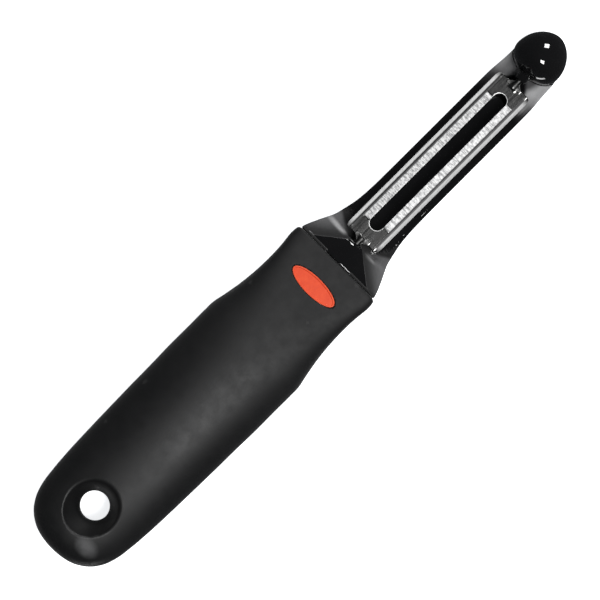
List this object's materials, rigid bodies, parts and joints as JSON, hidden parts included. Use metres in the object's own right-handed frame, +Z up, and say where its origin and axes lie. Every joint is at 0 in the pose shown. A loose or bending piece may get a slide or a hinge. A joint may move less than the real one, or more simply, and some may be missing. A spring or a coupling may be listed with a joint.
{
  "type": "vegetable peeler",
  "caption": "Straight swivel vegetable peeler: thick soft black grip with a dished hanging hole, oval inlay, glossy neck and bow, slotted steel blade and a round knob at the tip.",
  "frame": {"origin": "bottom centre of the bounding box, on the surface the tool lies on", "axes": "+X along the tool from the butt to the tip, +Y across it to the left seen from above with the tip ahead, +Z up, out of the blade's face"},
  "size_m": [0.1905, 0.0322, 0.0194],
  "materials": {
    "grip": "matte soft-touch elastomer, very fine grain",
    "core": "plain moulded",
    "badge": "satin, orange-red",
    "head": "high gloss",
    "blade": "brushed, ground lips"
  },
  "bodies": {
    "handle": {"grip": "grip", "handle_core": "core", "badge": "badge", "head_frame": "head"},
    "blade": {"blade": "blade"}
  },
  "joints": [
    {"name": "blade_swivel", "type": "hinge", "parent": "handle", "child": "blade", "pos_m": [0.0492, 0, 0.0106], "axis": [1, 0, 0], "range_deg": [-50, 50]}
  ]
}
